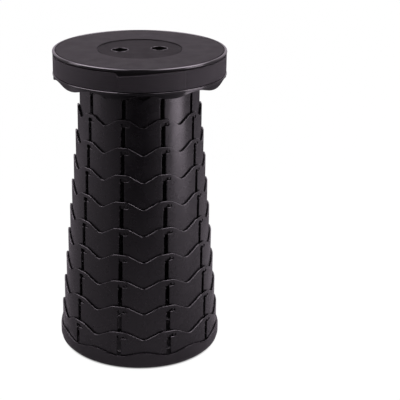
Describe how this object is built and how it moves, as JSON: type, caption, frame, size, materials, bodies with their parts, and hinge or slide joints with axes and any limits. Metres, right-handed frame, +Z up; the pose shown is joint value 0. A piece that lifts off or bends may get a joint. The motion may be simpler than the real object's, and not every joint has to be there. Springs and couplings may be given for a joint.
{
  "type": "telescopic stool",
  "caption": "Round-seated folding stool on a telescopic column of slotted, wavy-edged rings that nest in the base.",
  "frame": {"origin": "middle of the base's underside, on the floor", "axes": "+Z up along the column, -Y the front that the picture shows, +X to the right"},
  "size_m": [0.2502, 0.2955, 0.4512],
  "materials": {
    "shell_black": "moulded black plastic, satin",
    "ring_black": "moulded black plastic, satin with a soft sheen",
    "trim_black": "moulded black plastic, glossy",
    "seat_black": "finely grained black plastic",
    "webbing": "woven charcoal webbing"
  },
  "bodies": {
    "base": {"base_dish": "shell_black", "ring_10": "ring_black"},
    "ring_9": {"ring_9": "ring_black"},
    "ring_8": {"ring_8": "ring_black"},
    "ring_7": {"ring_7": "ring_black"},
    "ring_6": {"ring_6": "ring_black"},
    "ring_5": {"ring_5": "ring_black"},
    "ring_4": {"ring_4": "ring_black"},
    "ring_3": {"ring_3": "ring_black"},
    "ring_2": {"ring_2": "ring_black"},
    "ring_1": {"ring_1": "ring_black"},
    "seat": {"seat_cover": "seat_black", "seat_skirt": "trim_black", "seat_collar": "shell_black", "strap_band": "webbing", "carry_loop": "webbing"},
    "slider": {"strap_slider": "trim_black"}
  },
  "joints": [
    {"name": "ring_9_slide", "type": "slide", "parent": "base", "child": "ring_9", "axis": [0, 0, 1], "range_m": [-0.039, 0]},
    {"name": "ring_8_slide", "type": "slide", "parent": "ring_9", "child": "ring_8", "axis": [0, 0, 1], "range_m": [-0.039, 0]},
    {"name": "ring_7_slide", "type": "slide", "parent": "ring_8", "child": "ring_7", "axis": [0, 0, 1], "range_m": [-0.039, 0]},
    {"name": "ring_6_slide", "type": "slide", "parent": "ring_7", "child": "ring_6", "axis": [0, 0, 1], "range_m": [-0.039, 0]},
    {"name": "ring_5_slide", "type": "slide", "parent": "ring_6", "child": "ring_5", "axis": [0, 0, 1], "range_m": [-0.039, 0]},
    {"name": "ring_4_slide", "type": "slide", "parent": "ring_5", "child": "ring_4", "axis": [0, 0, 1], "range_m": [-0.039, 0]},
    {"name": "ring_3_slide", "type": "slide", "parent": "ring_4", "child": "ring_3", "axis": [0, 0, 1], "range_m": [-0.039, 0]},
    {"name": "ring_2_slide", "type": "slide", "parent": "ring_3", "child": "ring_2", "axis": [0, 0, 1], "range_m": [-0.039, 0]},
    {"name": "ring_1_slide", "type": "slide", "parent": "ring_2", "child": "ring_1", "axis": [0, 0, 1], "range_m": [-0.039, 0]},
    {"name": "seat_slide", "type": "slide", "parent": "ring_1", "child": "seat", "axis": [0, 0, 1], "range_m": [-0.03575, 0]},
    {"name": "slider_slide", "type": "slide", "parent": "seat", "child": "slider", "axis": [0, 1, 0], "range_m": [0, 0.016]}
  ]
}
